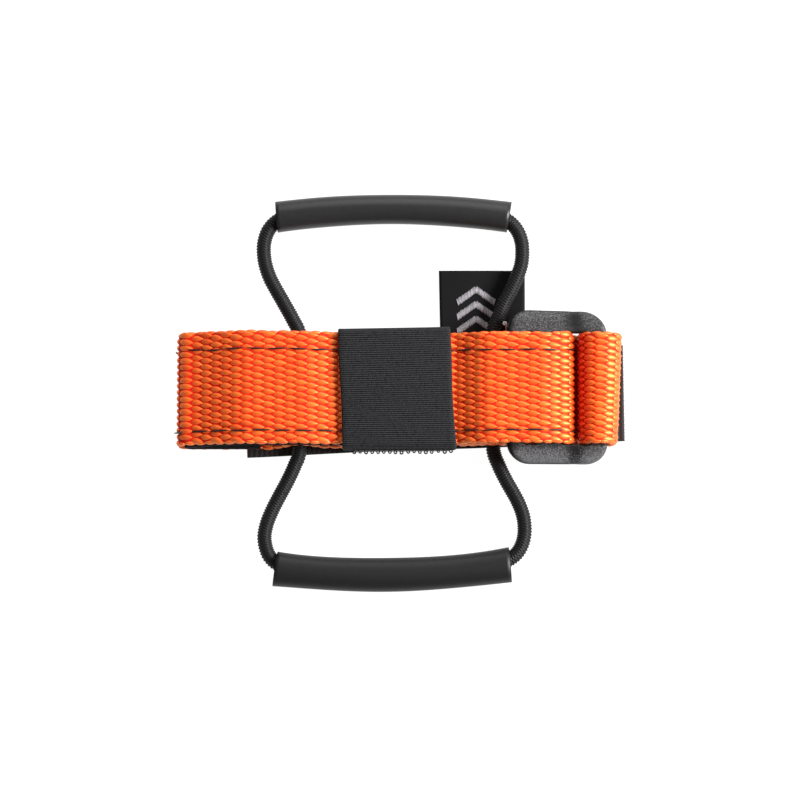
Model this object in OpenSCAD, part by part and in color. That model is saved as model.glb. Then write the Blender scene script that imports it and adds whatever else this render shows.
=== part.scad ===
// Gear strap for a bicycle frame, rolled flat for storage.
// One length of nylon webbing runs round a triglide buckle and is folded back on itself.
// An elastic keeper holds the roll, and a ring of shock cord makes a pull loop on each side.
// X runs along the strap, Y across it, Z up from the surface that the roll lies on.

/* [Webbing] */
// Width of the nylon webbing
web_w = 25.4; // [25:0.1:25.8]
// Thickness of the webbing
web_t = 1.8; // [1.7:0.05:1.85]
// Thickness of the loop tape and the hook tape sewn to the webbing
tape_t = 0.9; // [0.8:0.05:0.9]

/* [Hook panel] */
// Length of the hook panel under the roll
panel_l = 86.7; // [84:0.5:88]
// Width of the hook panel
panel_w = 22.5; // [20:0.5:23]
// Thickness of the hook panel
panel_t = 1.3; // [1.2:0.05:1.35]
// How far the panel is turned from the webbing, in degrees
panel_turn = 2.4; // [1.5:0.1:3]

/* [Buckle] */
// Size of the buckle along the strap
buckle_w = 23.3; // [23:0.1:23.6]
// Size of the buckle across the strap
buckle_l = 35.3; // [34.5:0.1:36]
// Thickness of the buckle's bars and rails
buckle_t = 2.6; // [2.4:0.1:2.8]
// Length of the buckle's slots
slot_l = 26.9; // [26.6:0.1:27.2]
// How far the buckle's left end is lifted by the layers under it, in degrees
buckle_tilt = 5.8; // [5.6:0.1:6]

/* [Keeper] */
// Width of the elastic keeper, measured along the strap
keeper_w = 25.6; // [24:0.2:26]
// Thickness of the elastic
keeper_t = 0.9; // [0.8:0.1:1.1]
// How far the keeper is turned from the webbing, in degrees
keeper_turn = 1.5; // [0:0.1:1.6]

/* [Pull loops] */
// Diameter of the shock cord
cord_d = 3.0; // [2.8:0.1:3]
// Length of each pull sleeve
sleeve_l = 53; // [50:1:55]
// Width of the upper pull sleeve
upper_sleeve_w = 7.0; // [6.6:0.1:7.2]
// Width of the lower pull sleeve, which is pressed flatter
lower_sleeve_w = 7.7; // [7.2:0.1:8]
// Wall thickness of both sleeves
sleeve_wall = 1.0; // [0.8:0.1:1.1]
// Bow radius of the sleeves
sleeve_bow = 200; // [150:10:300]

/* [Label] */
// Width of the woven label
label_w = 19.3; // [18:0.1:20]
// How far the label's free edge lies from the middle of the webbing
label_reach = 28.2; // [24:0.2:29]
// Thickness of the folded label
label_t = 0.6; // [0.5:0.05:0.6]

/* [Hidden] */
$fn = 48;

// Clearance between layers that are pressed together
gap = 0.2;
// Middle of the webbing across the strap
web_y = 0.1;

// Heights of the webbing's middle surface, from the panel up
low_z = panel_t + gap + web_t / 2;
end_z = low_z + web_t + gap;
tail_z = end_z + web_t + gap;
keeper_z = panel_t + gap;
band_low_z = keeper_z + keeper_t + gap + web_t / 2;
band_tail_z = band_low_z + web_t + gap;
band_top_z = band_tail_z + web_t + 2 * tape_t;
fold_r = web_t / 2 + tape_t + 0.15;
left_top_z = 10.3;
buckle_top_z = 12.6;

// Where the shock cord crosses under the webbing, and its height
left_cord_x = -23.2;
right_cord_x = 21.5;
cord_z = panel_t + label_t + 0.1 + cord_d / 2;
cord_bump_r = cord_d / 2 + 0.2 + web_t / 2;
bump_z = cord_z + 1.23 * cord_bump_r;

// Folds of the webbing along the strap
left_fold_x = -50.4;
right_fold_x = 49.9;
riser_x = 41.6;
arch_r = (right_fold_x - riser_x) / 2;
arch_z = 12.05;
dive_x = 40.1;
tail_end_x = -16.5;
sewn_end_x = 29.0;

// Middle line of the webbing as [x, z, corner radius], from the sewn end to the loose tail
sewn_loop_way = [
    [sewn_end_x, end_z, 0], [riser_x, end_z, 1.9], [riser_x, arch_z, arch_r],
    [right_fold_x, arch_z, arch_r], [right_fold_x, low_z, 2.1]
];
lower_run_way = [
    [27.5, low_z, 3], [right_cord_x, bump_z, cord_bump_r], [16, band_low_z, 3],
    [-17.2, band_low_z, 3], [left_cord_x, bump_z, cord_bump_r], [-29.2, low_z, 3]
];
left_fold_way = [[left_fold_x, low_z, fold_r], [left_fold_x, low_z + 2 * fold_r, fold_r]];
upper_left_way = [
    [-47, low_z + 2 * fold_r, 6], [-36.5, left_top_z, 12], [-23, left_top_z + 0.1, 10],
    [-16.6, band_top_z, 5]
];
upper_right_way = [[13.4, band_top_z, 4], [18, buckle_top_z, 6], [32.5, buckle_top_z, 5]];
tail_way = [
    [dive_x - 2.1, 10.6, 2.2], [dive_x, tail_z, 1.7], [28.5, tail_z, 4],
    [20.2, 8.6, 4], [14.2, band_tail_z, 4], [tail_end_x, band_tail_z, 0]
];
strap_way = concat(
    sewn_loop_way, lower_run_way, left_fold_way, upper_left_way, upper_right_way, tail_way
);
loop_tape_way = concat([[-32, low_z, 0]], left_fold_way, upper_left_way, [[12, band_top_z, 0]]);
hook_tape_way = [[12, band_tail_z, 0], [tail_end_x, band_tail_z, 0]];
stitched_way = concat([[-47.8, low_z + 2 * fold_r, 0]], upper_left_way, upper_right_way, [[38, 10.6, 0]]);

// Edge stitching: distance from each edge, stitch length, pitch, thread size, and how far
// each stitch's underside and top stand off the webbing
stitch_inset = 3.5;
stitch_l = 2.8;
stitch_pitch = 4.85;
thread_d = 0.4;
stitch_lift = 0.03;
stitch_rise = 0.18;

// Buckle: middle of its right bar, middle across the strap, and its bars along the strap
right_bar_x = 45.05;
right_bar_z = 8.0;
buckle_y = 0.6;
bar_w = 3.7;
middle_bar_x = -11.15;
middle_bar_w = 4.6;
left_bar_x = bar_w - buckle_w;
buckle_corner_r = 4.4;

// Keeper: its middle along the strap and its inner size
keeper_x = -0.8;
keeper_inner_w = web_w + 1.1;
keeper_inner_h = band_top_z + web_t / 2 + stitch_rise + gap - keeper_z - keeper_t;

// Pull loops: the line that each loop folds about, and the middle of each sleeve
hinge_y = 20.5;
sleeve_x = -1.65;
upper_sleeve_y = 42.5;
lower_sleeve_y = -41.9;
upper_sleeve_h = 2 * cord_z;
lower_sleeve_h = 6.6;
lower_sleeve_turn = 1;

// Routes of the shock cord as [x, y], all at one height
left_cross_route = [
    [-25.8, -20.5], [-24.2, -17], [-23.2, -14], [-23.2, -8], [-23.2, 8], [-23.3, 13.5],
    [-24.7, 16.7], [-26.8, 20.5]
];
right_cross_route = [
    [24.4, -20.5], [22.7, -17], [21.5, -13.5], [21.5, -8], [21.5, 8], [21.5, 13.5],
    [22.5, 16.7], [24, 20.5]
];
upper_loop_route = [
    [-26.8, 20.5], [-28.5, 23.5], [-30, 26.3], [-31, 29.1], [-31.5, 32], [-31.4, 34.9],
    [-30.4, 37.7], [-28.4, 39.8], [-25.5, 41], [-20, 41.7], [-11, 42.3], [-1.6, 42.5],
    [8, 42.3], [17, 41.6], [22.5, 40.8], [25.2, 39.7], [27.1, 37.6], [28.1, 35], [28.3, 32.3],
    [28, 29.5], [27, 26.6], [25.6, 23.5], [24, 20.5]
];
lower_loop_route = [
    [-25.8, -20.5], [-27.5, -23.7], [-29.2, -27], [-30.5, -30.2], [-31.1, -33.3],
    [-30.7, -36.1], [-29.6, -38.3], [-27.5, -39.9], [-24, -40.9], [-18, -41.5],
    [-10, -41.8], [-6, -41.9], [2.7, -41.9], [9, -41.5], [16, -40.8], [22, -39.7], [25, -38.6],
    [27, -36.9], [28.2, -34.5], [28.6, -31.6], [28.2, -28.4], [26.9, -25], [24.4, -20.5]
];

// Height of the label's free part
label_z = 0.65;

// Lines of the embroidered chevrons: middle of the lowest one, spacing, arm length and width
chevron_x = 17.6;
chevron_y = 16.6;
chevron_step = 3.4;
chevron_arm = 5.2;
chevron_w = 1.3;

// Points of a path that lie closer together than this count as one
least_step = 0.02;

// Rounded path: an arc of radius r in place of the corner b of the line a, b, c
function unit(v) = v / norm(v);
function arc_at(a, b, c, r) =
    let (
        u = unit(a - b),
        v = unit(c - b),
        half = acos(u * v) / 2,
        middle = b + unit(u + v) * r / sin(half),
        start = b + u * r / tan(half) - middle,
        turn = (180 - 2 * half) * (cross(u, v) > 0 ? -1 : 1),
        steps = max(2, ceil(abs(turn) / 12))
    )
    [for (i = [0 : steps]) middle + spin(start, turn * i / steps)];
function spin(v, angle) = [
    v.x * cos(angle) - v.y * sin(angle),
    v.x * sin(angle) + v.y * cos(angle)
];
function flat_point(p) = [p[0], p[1]];
function spaced(path) = [
    for (i = [0 : len(path) - 1])
        if (i == 0 || norm(path[i] - path[i - 1]) > least_step) path[i]
];
function rounded(way) = spaced(concat(
    [flat_point(way[0])],
    [
        for (i = [1 : 1 : len(way) - 2])
            each arc_at(flat_point(way[i - 1]), flat_point(way[i]), flat_point(way[i + 1]), way[i][2])
    ],
    [flat_point(way[len(way) - 1])]
));

// Outline of a layer that lies between two distances from a path
function side_of(path, i) =
    let (d = unit(path[min(i + 1, len(path) - 1)] - path[max(i - 1, 0)])) [-d.y, d.x];
function layer_outline(path, low, high) = concat(
    [for (i = [0 : len(path) - 1]) path[i] + side_of(path, i) * high],
    [for (i = [len(path) - 1 : -1 : 0]) path[i] + side_of(path, i) * low]
);

// Point of a path at a distance from its start
function place_at(path, s, i = 0) =
    let (d = norm(path[i + 1] - path[i]))
    s <= d || i == len(path) - 2
        ? path[i] + unit(path[i + 1] - path[i]) * s
        : place_at(path, s - d, i + 1);
function path_length(path, i = 0) =
    i == len(path) - 1 ? 0 : norm(path[i + 1] - path[i]) + path_length(path, i + 1);

module layer(way, low, high, width) {
    translate([0, web_y + width / 2, 0])
        rotate([90, 0, 0])
            linear_extrude(height = width)
                polygon(layer_outline(rounded(way), low, high));
}

module stitch_row(way, y) {
    path = rounded(way);
    steps = 6;
    for (s = [stitch_pitch / 2 : stitch_pitch : path_length(path) - stitch_l]) {
        stitch = [for (i = [0 : steps]) place_at(path, s + (i / steps - 0.5) * stitch_l)];
        translate([0, y + thread_d / 2, 0])
            rotate([90, 0, 0])
                linear_extrude(height = thread_d)
                    polygon(layer_outline(stitch, web_t / 2 + stitch_lift, web_t / 2 + stitch_rise));
    }
}

module rounded_rect(w, l, r) {
    square([w - 2 * r, l], center = true);
    square([w, l - 2 * r], center = true);
    for (x = [-1, 1], y = [-1, 1])
        translate([x * (w / 2 - r), y * (l / 2 - r)]) circle(r = r);
}

// Bar with half-round edges, along Y
module round_bar(w, l, t) {
    translate([0, l / 2, 0]) rotate([90, 0, 0]) linear_extrude(height = l) rounded_rect(w, t, t / 2 - 0.01);
}

// Round cord along a flat route: one closed tube with eight sides, cut square to Y at both ends
module cord_tube(route) {
    sides = 8;
    last = len(route) - 1;
    rings = [
        for (i = [0 : last])
            let (side = side_of(route, i), n = i == 0 || i == last ? [sign(side.x), 0] : side)
                for (k = [0 : sides - 1])
                    let (angle = 360 * k / sides)
                        [
                            route[i].x + n.x * cos(angle) * cord_d / 2,
                            route[i].y + n.y * cos(angle) * cord_d / 2,
                            cord_z + sin(angle) * cord_d / 2
                        ]
    ];
    walls = [
        for (i = [0 : last - 1], k = [0 : sides - 1])
            let (next = (k + 1) % sides)
                [i * sides + k, (i + 1) * sides + k, (i + 1) * sides + next, i * sides + next]
    ];
    start_cap = [[for (k = [0 : sides - 1]) k]];
    end_cap = [[for (k = [sides - 1 : -1 : 0]) last * sides + k]];
    polyhedron(points = rings, faces = concat(walls, start_cap, end_cap), convexity = 4);
}

// Bowed sleeve: an oval tube bent to a long radius, its middle at the origin, bowed towards +Y
module bowed_sleeve(w, h) {
    sweep_angle = sleeve_l / sleeve_bow * 180 / PI;
    edge_r = min(w, h) / 2 - 0.01;
    translate([0, -sleeve_bow, 0])
        rotate([0, 0, 90 - sweep_angle / 2])
            rotate_extrude(angle = sweep_angle, $fn = 240)
                translate([sleeve_bow, 0])
                    difference() {
                        rounded_rect(w, h, edge_r);
                        rounded_rect(w - 2 * sleeve_wall, h - 2 * sleeve_wall, edge_r - sleeve_wall);
                    }
}

module strap_webbing() {
    color("#f26522") layer(strap_way, -web_t / 2, web_t / 2, web_w);
}

module loop_tape() {
    color("#1f1f21") layer(loop_tape_way, -web_t / 2 - tape_t, -web_t / 2, web_w - 1);
}

module tail_hook_tape() {
    color("#19191b") layer(hook_tape_way, -web_t / 2 - tape_t, -web_t / 2, web_w - 2);
}

module hook_panel() {
    color("#1b1b1d")
        translate([7.6, -1.85, 0])
            rotate([0, 0, panel_turn])
                translate([-panel_l / 2, -panel_w / 2, 0])
                    cube([panel_l, panel_w, panel_t]);
}

module upper_edge_stitching() {
    color("#3a0f10") stitch_row(stitched_way, web_y + web_w / 2 - stitch_inset);
}

module lower_edge_stitching() {
    color("#3a0f10") stitch_row(stitched_way, web_y - web_w / 2 + stitch_inset);
}

// Box of stitches that holds the sewn end to the run below it
module anchor_stitching() {
    rise = 0.15;
    color("#3a0f10")
        translate([0, web_y, end_z + web_t / 2]) {
            for (x = [31, 38])
                translate([x - thread_d / 2, -9.5, 0]) cube([thread_d, 19, rise]);
            for (y = [-9, 9])
                translate([31, y - thread_d / 2, 0]) cube([7, thread_d, rise]);
        }
}

// Bar tacks that join webbing and panel on both sides of each cord
module bar_tacks() {
    color("#2a0c0d")
        for (x = [-28.9, -17.9, 16.6, 27.2])
            translate([x - 0.6, web_y - 8, 0.3]) cube([1.2, 16, low_z + web_t / 2 - 0.3]);
}

module triglide_buckle() {
    window_w = buckle_w - bar_w;
    color("#2e2e30")
        translate([right_bar_x, buckle_y, right_bar_z])
            rotate([0, buckle_tilt, 0]) {
                translate([left_bar_x / 2, 0, -buckle_t / 2])
                    linear_extrude(height = buckle_t)
                        difference() {
                            rounded_rect(buckle_w, buckle_l, buckle_corner_r);
                            square([window_w, slot_l], center = true);
                        }
                round_bar(bar_w, slot_l + 1, buckle_t);
                translate([left_bar_x, 0, 0]) round_bar(bar_w, slot_l + 1, buckle_t);
                translate([middle_bar_x, 0, 0]) round_bar(middle_bar_w, slot_l + 1, buckle_t);
            }
}

// Everything on the keeper is turned with it about the keeper's middle
module on_keeper() {
    translate([keeper_x, web_y, keeper_z]) rotate([0, 0, keeper_turn]) children();
}

module keeper_band() {
    color("#2e2f30")
        on_keeper()
            translate([-keeper_w / 2, 0, keeper_t + keeper_inner_h / 2])
                rotate([90, 0, 90])
                    linear_extrude(height = keeper_w)
                        difference() {
                            rounded_rect(keeper_inner_w + 2 * keeper_t, keeper_inner_h + 2 * keeper_t, 1.2);
                            rounded_rect(keeper_inner_w, keeper_inner_h, 0.3);
                        }
}

// Two rows of zigzag stitches where the elastic's ends are sewn together
module keeper_seam() {
    color("#141415")
        on_keeper()
            for (x = [-3, 3], y = [-8 : 2 : 8])
                translate([x - 0.8, y - thread_d / 2, keeper_t]) cube([1.6, thread_d, 0.12]);
}

// Patch of hook tape on the keeper's lower side, with one row of hooks standing out of it
module keeper_hook_patch() {
    patch_l = 21.8;
    patch_t = 0.35;
    hook_pitch = 1.37;
    outer_y = -keeper_inner_w / 2 - keeper_t;
    color("#232324")
        on_keeper()
            translate([-patch_l / 2 + 0.4, outer_y - patch_t, 2]) {
                cube([patch_l, patch_t, 4]);
                for (x = [0.5 : hook_pitch : patch_l - 0.3])
                    translate([x, -0.45, 3]) cube([0.3, 0.5, 0.3]);
            }
}

module left_cross_cord() {
    color("#1d1c1e") cord_tube(left_cross_route);
}

module right_cross_cord() {
    color("#1d1c1e") cord_tube(right_cross_route);
}

module upper_loop_cord() {
    color("#1d1c1e") cord_tube(upper_loop_route);
}

module lower_loop_cord() {
    color("#1d1c1e") cord_tube(lower_loop_route);
}

// Crimped tube that joins the two ends of the cord inside the lower sleeve
module cord_ferrule() {
    ferrule_l = 8;
    bore_r = cord_d / 2 + 0.06;
    ferrule_t = 0.25;
    color("#b9bbbd")
        translate([sleeve_x, lower_sleeve_y, cord_z])
            rotate([0, 90, 0])
                difference() {
                    cylinder(r = bore_r + ferrule_t, h = ferrule_l, center = true);
                    cylinder(r = bore_r, h = ferrule_l + 1, center = true);
                }
}

module upper_pull_sleeve() {
    color("#454446")
        translate([sleeve_x, upper_sleeve_y, upper_sleeve_h / 2])
            bowed_sleeve(upper_sleeve_w, upper_sleeve_h);
}

module lower_pull_sleeve() {
    color("#2b2a2a")
        translate([sleeve_x, lower_sleeve_y, lower_sleeve_h / 2])
            rotate([0, 0, 180 + lower_sleeve_turn])
                bowed_sleeve(lower_sleeve_w, lower_sleeve_h);
}

// Woven label: a root on the panel, and a free part that lies lower beside it
module label() {
    left = 9.3;
    free_y = 10.7;
    root_x = 15;
    root_y = 8.5;
    root_w = 10.5;
    color("#161618") {
        translate([left, free_y, label_z]) cube([label_w, label_reach - free_y, label_t]);
        translate([root_x, root_y, panel_t]) cube([root_w, free_y + label_t - root_y, label_t]);
        translate([root_x, free_y, label_z]) cube([root_w, label_t, panel_t + label_t - label_z]);
    }
}

// Plain chevrons in satin stitch on the label's face
module label_embroidery() {
    color("#9a969b")
        translate([chevron_x, chevron_y, label_z + label_t])
            for (i = [0 : 2], side = [-1, 1])
                translate([side * 0.6, i * chevron_step, 0])
                    rotate([0, 0, side > 0 ? -35 : 215])
                        translate([0, -chevron_w / 2, 0])
                            cube([chevron_arm, chevron_w, 0.15]);
}

module label_stitching() {
    color("#e8e6e2")
        for (x = [15.4, 17.6, 23.6])
            translate([x, 9.1, panel_t + label_t]) cube([1.5, 0.3, 0.1]);
}

strap_webbing();
loop_tape();
tail_hook_tape();
hook_panel();
upper_edge_stitching();
lower_edge_stitching();
anchor_stitching();
bar_tacks();
triglide_buckle();
keeper_band();
keeper_seam();
keeper_hook_patch();
left_cross_cord();
right_cross_cord();
upper_loop_cord();
lower_loop_cord();
cord_ferrule();
upper_pull_sleeve();
lower_pull_sleeve();
label();
label_embroidery();
label_stitching();
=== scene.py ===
import math

import bmesh
import bpy
import numpy as np
from mathutils import Matrix, Vector


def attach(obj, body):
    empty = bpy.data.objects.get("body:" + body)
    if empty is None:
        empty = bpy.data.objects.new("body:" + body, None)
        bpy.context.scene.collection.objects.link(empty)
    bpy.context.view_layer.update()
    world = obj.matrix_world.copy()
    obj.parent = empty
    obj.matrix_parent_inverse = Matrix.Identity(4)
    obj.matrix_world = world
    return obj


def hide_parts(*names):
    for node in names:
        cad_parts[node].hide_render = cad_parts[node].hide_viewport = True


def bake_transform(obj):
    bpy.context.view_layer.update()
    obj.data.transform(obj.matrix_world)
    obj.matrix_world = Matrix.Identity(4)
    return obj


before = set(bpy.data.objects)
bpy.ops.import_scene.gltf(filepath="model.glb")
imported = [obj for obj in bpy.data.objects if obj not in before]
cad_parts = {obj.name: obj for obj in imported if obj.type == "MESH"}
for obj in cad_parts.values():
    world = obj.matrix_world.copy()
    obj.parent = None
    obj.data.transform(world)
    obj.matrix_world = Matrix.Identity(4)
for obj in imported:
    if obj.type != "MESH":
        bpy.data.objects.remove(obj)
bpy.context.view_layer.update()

MM = 0.001

# ---- Camera ------------------------------------------------------------------------------
# A long lens looks almost straight down on the rolled strap, leaning a little from the side
# of the lower pull, as over a product table.
look_at = Vector((0.0, -2.3, 8.0)) * MM
camera_distance = 0.72
camera_elevation = math.radians(84.5)
seen_width = 183.2 * MM
camera_data = bpy.data.cameras.new("camera")
camera_data.sensor_width = 36.0
camera_data.lens = camera_data.sensor_width * camera_distance / seen_width
camera_data.clip_start = 0.01
camera_data.clip_end = 20.0
camera = bpy.data.objects.new("camera", camera_data)
toward_camera = Vector((0.0, -math.cos(camera_elevation), math.sin(camera_elevation)))
camera.location = look_at + toward_camera * camera_distance
camera.rotation_euler = toward_camera.to_track_quat("Z", "Y").to_euler()
bpy.context.scene.collection.objects.link(camera)
bpy.context.scene.camera = camera


# ---- Shock cord --------------------------------------------------------------------------
# One ring of 3 mm shock cord: a rubber core in a braided polyester jacket. It crosses twice under the
# webbing, between it and the hook panel, and makes a loop on each side. The ring is cut into pieces at each
# fold line and where it crosses the middle of the strap.
cord_diameter = 3.0 * MM
cord_height = 3.5 * MM
braid_carriers = 4
braid_pitch = 0.62 * MM
braid_sink = 0.03 * MM
braid_relief = 0.27 * MM
past_fold = 23.0 * MM
left_cross_route = [
    (-25.8, -20.5), (-24.2, -17), (-23.2, -14), (-23.2, -8), (-23.2, 8), (-23.3, 13.5),
    (-24.7, 16.7), (-26.8, 20.5),
]
right_cross_route = [
    (24.4, -20.5), (22.7, -17), (21.5, -13.5), (21.5, -8), (21.5, 8), (21.5, 13.5),
    (22.5, 16.7), (24, 20.5),
]
upper_loop_route = [
    (-26.8, 20.5), (-28.5, 23.5), (-30, 26.3), (-31, 29.1), (-31.5, 32), (-31.4, 34.9),
    (-30.4, 37.7), (-28.4, 39.8), (-25.5, 41), (-20, 41.7), (-11, 42.3), (-1.6, 42.5),
    (8, 42.3), (17, 41.6), (22.5, 40.8), (25.2, 39.7), (27.1, 37.6), (28.1, 35), (28.3, 32.3),
    (28, 29.5), (27, 26.6), (25.6, 23.5), (24, 20.5),
]
lower_loop_route = [
    (-25.8, -20.5), (-27.5, -23.7), (-29.2, -27), (-30.5, -30.2), (-31.1, -33.3),
    (-30.7, -36.1), (-29.6, -38.3), (-27.5, -39.9), (-24, -40.9), (-18, -41.5),
    (-10, -41.8), (-6, -41.9), (2.7, -41.9), (9, -41.5), (16, -40.8), (22, -39.7), (25, -38.6),
    (27, -36.9), (28.2, -34.5), (28.6, -31.6), (28.2, -28.4), (26.9, -25), (24.4, -20.5),
]


def linear(hex_colour):
    """An sRGB hex colour as linear red, green, blue and alpha."""
    channels = [int(hex_colour[i : i + 2], 16) / 255 for i in (1, 3, 5)]
    return [c / 12.92 if c <= 0.04045 else ((c + 0.055) / 1.055) ** 2.4 for c in channels] + [1.0]


def add(tree, kind, inputs=None, **settings):
    """Adds a node to a tree, gives it its settings, and sets or links its inputs."""
    made = tree.nodes.new(kind)
    for key, value in settings.items():
        setattr(made, key, value)
    for key, value in (inputs or {}).items():
        if isinstance(value, bpy.types.NodeSocket):
            tree.links.new(value, made.inputs[key])
        else:
            made.inputs[key].default_value = value
    return made


def new_finish(name, **shader_inputs):
    """A material with one Principled shader: returns the material, its tree and the shader."""
    made = bpy.data.materials.new(name)
    made.use_nodes = True
    shader = made.node_tree.nodes["Principled BSDF"]
    for key, value in shader_inputs.items():
        shader.inputs[key.replace("_", " ")].default_value = value
    return made, made.node_tree, shader


def patterned(tree, shader, shade, dark, light, height, strength, depth):
    """Colours a shader from dark to light by one pattern, and roughens its surface by another or the same."""
    colour = add(tree, "ShaderNodeMix", {0: shade, 6: linear(dark), 7: linear(light)}, data_type="RGBA")
    tree.links.new(colour.outputs[2], shader.inputs["Base Color"])
    bump = add(tree, "ShaderNodeBump", {"Height": height, "Strength": strength, "Distance": depth})
    tree.links.new(bump.outputs["Normal"], shader.inputs["Normal"])


def skin(rings, sides, joined=False):
    """Quads from each ring of points to the next, and from the last to the first if they are joined."""
    k = np.arange(sides)
    rows = np.arange(rings if joined else rings - 1)[:, None] * sides
    after = (rows + sides) % (rings * sides)
    quads = np.stack([rows + k, rows + (k + 1) % sides, after + (k + 1) % sides, after + k], axis=2)
    return quads.reshape(-1, 4).tolist()


def capped_skin(rings, sides):
    """Quads from each ring of points to the next, with a flat cap on the first and the last."""
    first = list(range(sides))
    return skin(rings, sides) + [first[::-1], [i + (rings - 1) * sides for i in first]]


def mesh_piece(name, points, faces, finish, uv=None, smooth=True):
    """A mesh object from points in metres and faces, with one material and, if given, a UV per point."""
    mesh = bpy.data.meshes.new(name)
    mesh.from_pydata([tuple(p) for p in points], [], [tuple(f) for f in faces])
    mesh.materials.append(finish)
    if uv is not None:
        layer = mesh.uv_layers.new(name="surface")
        corners = np.zeros(len(mesh.loops), int)
        mesh.loops.foreach_get("vertex_index", corners)
        layer.data.foreach_set("uv", np.asarray(uv, np.float32)[corners].ravel())
    mesh.polygons.foreach_set("use_smooth", [smooth] * len(mesh.polygons))
    mesh.update()
    shape = bmesh.new()
    shape.from_mesh(mesh)
    bmesh.ops.recalc_face_normals(shape, faces=shape.faces)
    shape.to_mesh(mesh)
    shape.free()
    made = bpy.data.objects.new(name, mesh)
    bpy.context.scene.collection.objects.link(made)
    return made


def closed_curve(points, steps):
    """Smooth closed line (Catmull-Rom) through 2-D points, as an array of points."""
    p = np.array(points, float)
    t = np.linspace(0, 1, steps, endpoint=False)[:, None]
    spans = []
    for i in range(len(p)):
        a, b, c, d = (p[(i + k) % len(p)] for k in (-1, 0, 1, 2))
        spans.append(0.5 * (2 * b + (c - a) * t + (2 * a - 5 * b + 4 * c - d) * t**2
                            + (3 * b - a - 3 * c + d) * t**3))
    return np.vstack(spans)


def lengths_along(points):
    """Distance from the first point to each point of a line."""
    steps = np.linalg.norm(np.diff(points, axis=0), axis=1)
    return np.concatenate([[0.0], np.cumsum(steps)])


ring_points = closed_curve(
    left_cross_route[:-1] + upper_loop_route[:-1] + right_cross_route[:0:-1] + lower_loop_route[:0:-1], 16
) * MM
ring_points = np.vstack([ring_points, ring_points[:1]])
ring_lengths = lengths_along(ring_points)


def ring_place(s):
    """Point and tangent of the cord's ring at distances s from its start."""
    s = np.mod(s, ring_lengths[-1])
    here = np.column_stack([np.interp(s, ring_lengths, ring_points[:, k]) for k in (0, 1)])
    ahead = np.mod(s + 0.2 * MM, ring_lengths[-1])
    there = np.column_stack([np.interp(ahead, ring_lengths, ring_points[:, k]) for k in (0, 1)])
    tangent = there - here
    return here, tangent / np.linalg.norm(tangent, axis=1)[:, None]


def ring_crossing(x_side, y):
    """Distance along the ring at which it crosses the line of that y, on the left (-1) or right (1)."""
    side = np.sign(ring_points[:, 0]) == x_side
    gap = np.where(side, np.abs(ring_points[:, 1] - y), np.inf)
    return ring_lengths[int(np.argmin(gap))]


def braid_lift(s, angle):
    """Height of a two-way braid, 0 to 1: strands of both directions pass over each other in turn."""
    one = s / braid_pitch + braid_carriers * angle / math.tau
    two = s / braid_pitch - braid_carriers * angle / math.tau
    over = np.floor(one) + np.floor(two)
    ridge_one = np.sin(np.pi * np.mod(one, 1)) * (0.55 + 0.45 * np.sin(np.pi * np.mod(two, 1)))
    ridge_two = np.sin(np.pi * np.mod(two, 1)) * (0.55 + 0.45 * np.sin(np.pi * np.mod(one, 1)))
    return np.where(np.mod(over, 2) < 1, ridge_one, ridge_two)


def cord_piece(name, start, end, finish, sides=44, step=0.1 * MM):
    """The jacket of the ring from one distance to another, as a closed braided tube."""
    s = np.linspace(start, end, max(2, int((end - start) / step)))
    middle, tangent = ring_place(s)
    angle = np.linspace(0, math.tau, sides, endpoint=False)
    grid_s, grid_angle = np.meshgrid(s, angle, indexing="ij")
    radius = cord_diameter / 2 - braid_sink + braid_relief * braid_lift(grid_s, grid_angle)
    side = np.column_stack([-tangent[:, 1], tangent[:, 0]])
    x = middle[:, 0:1] + side[:, 0:1] * radius * np.cos(angle)
    y = middle[:, 1:2] + side[:, 1:2] * radius * np.cos(angle)
    z = cord_height + radius * np.sin(angle)
    points = np.stack([x, y, z], axis=2).reshape(-1, 3)
    uv = np.column_stack([grid_angle.ravel() / math.tau, grid_s.ravel() / (10 * MM)])
    return mesh_piece(name, points, capped_skin(len(s), sides), finish, uv), s


# Braided polyester, dyed black: matt, with each strand catching a thin grey light. Its fibres are drawn
# 0.2 mm wide, coarser than the real ones, so that they show.
jacket, tree, shader = new_finish("braided_polyester", Roughness=0.5, Specular_IOR_Level=0.22)
where = add(tree, "ShaderNodeTexCoord")
fibres = add(tree, "ShaderNodeTexNoise", {"Vector": where.outputs["Object"], "Scale": 5200.0, "Detail": 3.0})
shade = add(tree, "ShaderNodeMapRange", {"Value": fibres.outputs["Fac"], "From Min": 0.3, "From Max": 0.7})
patterned(tree, shader, shade.outputs[0], "#0E0D0F", "#1C1B1D", fibres.outputs["Fac"], 0.35, 0.05 * MM)

for side_name, x_side in (("left", -1), ("right", 1)):
    centre = ring_crossing(x_side, 0.0)
    for loop_name, y_side in (("upper", 1), ("lower", -1)):
        far = ring_crossing(x_side, y_side * past_fold)
        if side_name == "left" and loop_name == "lower":
            far -= ring_lengths[-1] if far > ring_lengths[-1] / 2 else 0.0
        bend, _ = cord_piece(f"{side_name}_cord_to_{loop_name}_loop", min(centre, far), max(centre, far),
                             jacket)
        if loop_name == "upper":
            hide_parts(f"{side_name}_cross_cord")
        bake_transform(bend)

for loop_name, y_side in (("upper", 1), ("lower", -1)):
    ends = sorted(ring_crossing(x_side, y_side * past_fold) for x_side in (-1, 1))
    if loop_name == "lower" and ends[0] < ring_lengths[-1] / 4:
        ends = [ends[1], ends[0] + ring_lengths[-1]]
    loop, s = cord_piece(f"{loop_name}_loop_jacket", ends[0], ends[1], jacket)
    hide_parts(f"{loop_name}_loop_cord")
    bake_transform(loop)


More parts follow.
